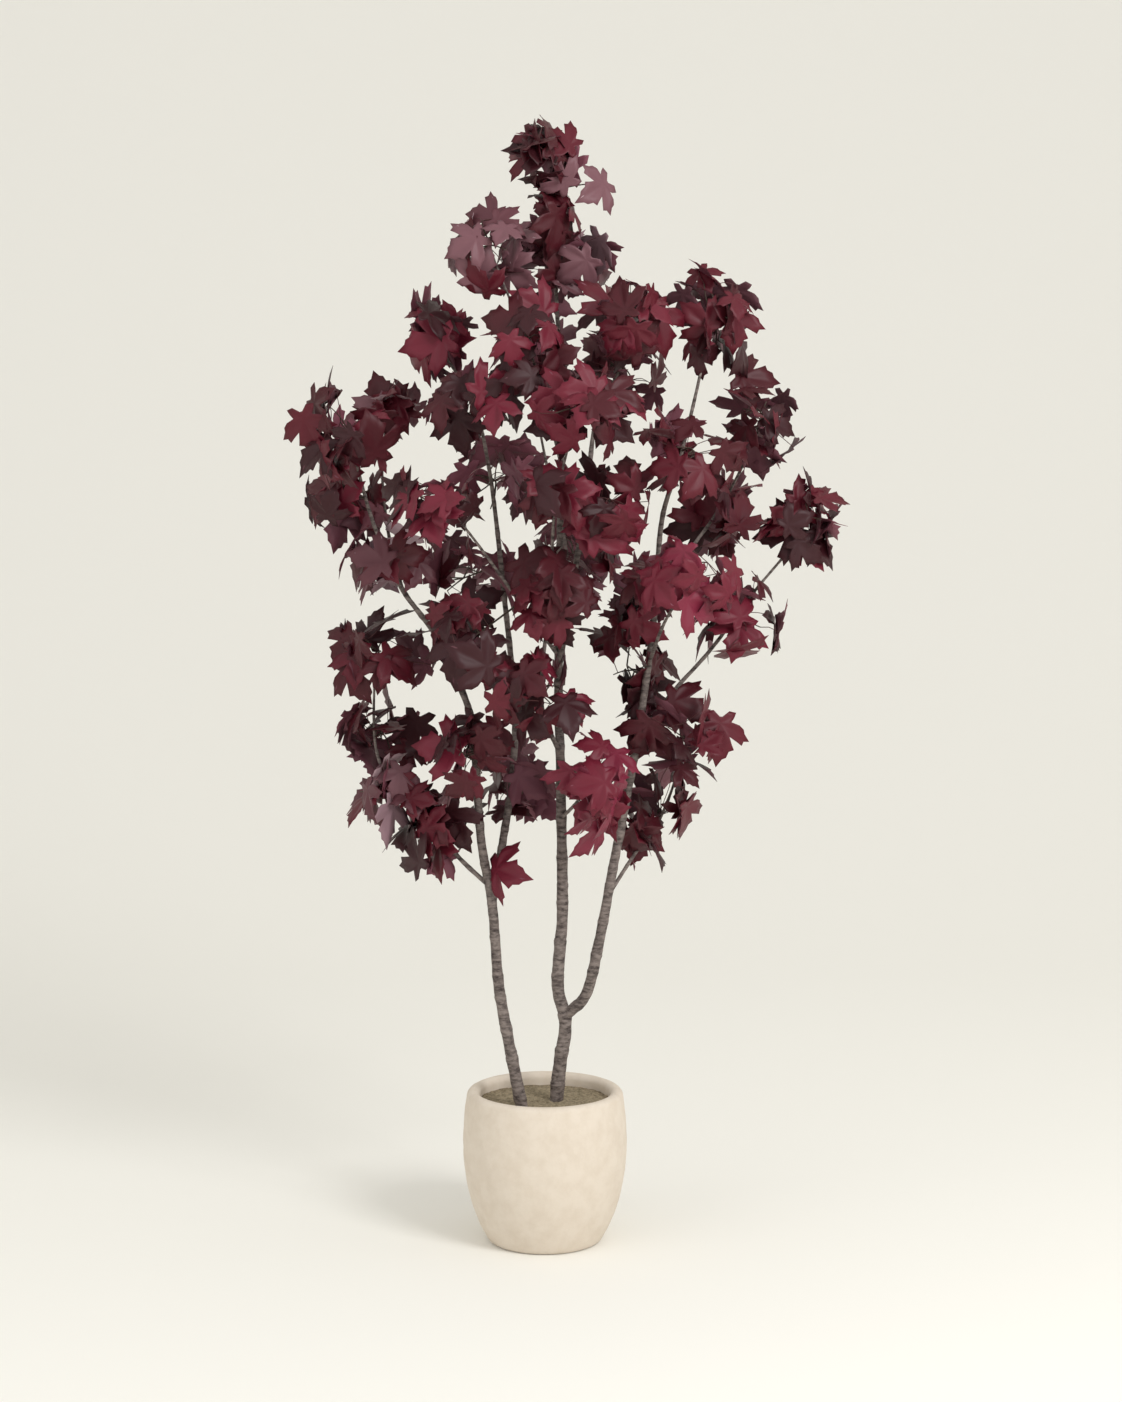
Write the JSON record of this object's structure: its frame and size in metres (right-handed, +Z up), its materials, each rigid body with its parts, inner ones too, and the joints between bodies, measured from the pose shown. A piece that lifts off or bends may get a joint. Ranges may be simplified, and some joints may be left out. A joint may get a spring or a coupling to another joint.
{
  "type": "potted artificial maple tree",
  "caption": "Tall indoor artificial maple tree with slender multi-stem trunks and dark red lobed leaves, standing in a rounded beige stone-look pot.",
  "frame": {"origin": "centre of the pot's flat underside, where it stands on the floor", "axes": "+Z up along the tree, -Y towards the front that the picture shows, +X to the picture's right"},
  "size_m": [1.1027, 0.8904, 2.2629],
  "materials": {
    "pot": "matte",
    "soil": "matte",
    "bark": "matte",
    "foliage": "satin"
  },
  "bodies": {
    "root": {"pot": "pot", "soil": "soil", "stem_centre": "bark", "stem_left": "bark", "stem_right": "bark", "stem_inner_left": "bark", "stem_inner_right": "bark", "bough_low_left": "bark", "bough_left_crest": "bark", "bough_left_front": "bark", "bough_upper_left": "bark", "bough_centre_front": "bark", "bough_centre_back": "bark", "bough_front_low": "bark", "bough_right_low": "bark", "bough_far_right": "bark", "bough_right_front": "bark", "bough_right_back": "bark", "foliage_top": "foliage", "foliage_top_neck": "foliage", "foliage_upper_left": "foliage", "foliage_upper_mid": "foliage", "foliage_right_shoulder": "foliage", "foliage_right_shoulder_back": "foliage", "foliage_centre_upper": "foliage", "foliage_left_shoulder": "foliage", "foliage_centre_left": "foliage", "foliage_centre_face": "foliage", "foliage_centre_back": "foliage", "foliage_left_crest": "foliage", "foliage_left_upper": "foliage", "foliage_left_mid": "foliage", "foliage_left_inner": "foliage", "foliage_inner_left": "foliage", "foliage_centre_mid": "foliage", "foliage_right_centre": "foliage", "foliage_right_tower": "foliage", "foliage_right_inner": "foliage", "foliage_right_outer": "foliage", "foliage_right_mid": "foliage", "foliage_far_right": "foliage", "foliage_right_lower": "foliage", "foliage_right_face": "foliage", "foliage_right_heart": "foliage", "foliage_right_low_inner": "foliage", "foliage_centre_low": "foliage", "foliage_centre_back_low": "foliage", "foliage_left_wing": "foliage", "foliage_left_low_inner": "foliage", "foliage_left_low": "foliage", "foliage_left_heart": "foliage", "foliage_left_low_tail": "foliage", "foliage_centre_low_face": "foliage", "foliage_low_left_face": "foliage", "foliage_bottom_left": "foliage", "foliage_bottom_left_big": "foliage", "foliage_low_mid": "foliage", "foliage_bottom_centre": "foliage", "foliage_right_low": "foliage", "foliage_bottom_right": "foliage"}
  },
  "joints": []
}
